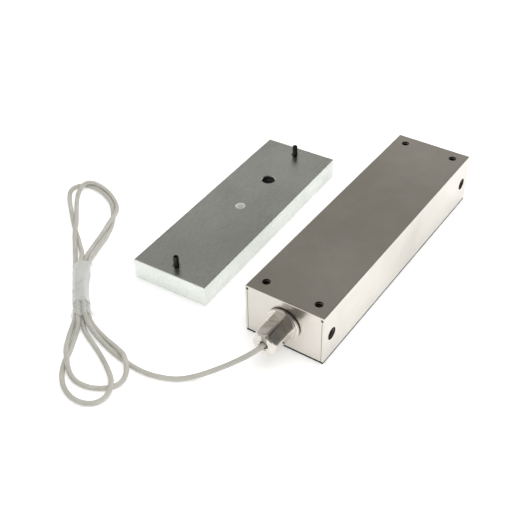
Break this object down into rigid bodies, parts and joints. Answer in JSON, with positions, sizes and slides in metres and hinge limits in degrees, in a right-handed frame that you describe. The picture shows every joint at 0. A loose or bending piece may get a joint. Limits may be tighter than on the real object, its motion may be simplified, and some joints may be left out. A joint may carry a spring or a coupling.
{
  "type": "magnetic door lock",
  "caption": "Surface magnetic door lock: an oblong electromagnet in a folded steel housing with a cable gland and tied lead, and its loose armature plate with guide pins.",
  "frame": {"origin": "centre of the magnet's pole face, which lies on the surface that the parts stand on", "axes": "+Y along the magnet, away from the cable gland; +X towards the side with the side holes; +Z from the pole face to the mounting back"},
  "size_m": [0.2729, 0.3337, 0.04],
  "materials": {
    "stainless_sheet": "fine satin stainless sheet with soft streaks",
    "black_sealant": "matt black bead",
    "core_steel": "ground lamination edges, oiled",
    "plain_steel": "machined mild steel",
    "bobbin_plastic": "moulded natural nylon",
    "copper_wire": null,
    "resin": "cast black potting resin",
    "board": "green solder mask",
    "varistor": "dipped blue coating",
    "red_insulation": "wire insulation",
    "black_insulation": "wire insulation",
    "plated_brass": "bright nickel-plated brass",
    "rubber": "matt black rubber",
    "clamp_plastic": "natural nylon",
    "cable_sheath": "smooth grey-beige PVC sheath",
    "tie_film": "thin whitish wrapping film",
    "plated_steel_plate": "zinc-plated ground steel with faint marks, pale machined edges",
    "pale_plastic": "smooth pale moulding",
    "black_steel": "blackened steel"
  },
  "bodies": {
    "magnet": {"housing_shell": "stainless_sheet", "edge_bead": "black_sealant", "core_laminations": "core_steel", "core_rivets": "plain_steel", "coil_bobbin": "bobbin_plastic", "coil_winding": "copper_wire", "potting_resin": "resin", "front_mount_block": "plain_steel", "rear_mount_block": "plain_steel", "circuit_board": "board", "board_spacers": "bobbin_plastic", "varistor": "varistor", "coil_leads": "red_insulation", "supply_leads": "black_insulation", "gland_body": "plated_brass", "gland_gasket": "rubber", "gland_locknut": "plated_brass", "gland_seal": "rubber", "cable": "cable_sheath", "cable_hank": "cable_sheath", "cable_tie": "tie_film"},
    "plate": {"armature_plate": "plated_steel_plate", "centre_bush": "pale_plastic", "guide_pins": "black_steel"},
    "gland_clamp": {"gland_clamp": "clamp_plastic"},
    "gland_nut": {"gland_nut": "plated_brass"}
  },
  "joints": [
    {"name": "plate_lift", "type": "slide", "parent": "magnet", "child": "plate", "axis": [0, 0, 1], "range_m": [0, 0.1]},
    {"name": "gland_clamp_travel", "type": "slide", "parent": "magnet", "child": "gland_clamp", "axis": [0, -1, 0], "range_m": [0, 0.0016]},
    {"name": "gland_nut_turn", "type": "hinge", "parent": "gland_clamp", "child": "gland_nut", "pos_m": [0, -0.1325, 0.021], "axis": [0, -1, 0], "range_deg": [0, 360]}
  ],
  "couplings": [
    {"joint": "gland_clamp_travel", "follows": "gland_nut_turn", "m_per_rad": 0.00023873}
  ]
}
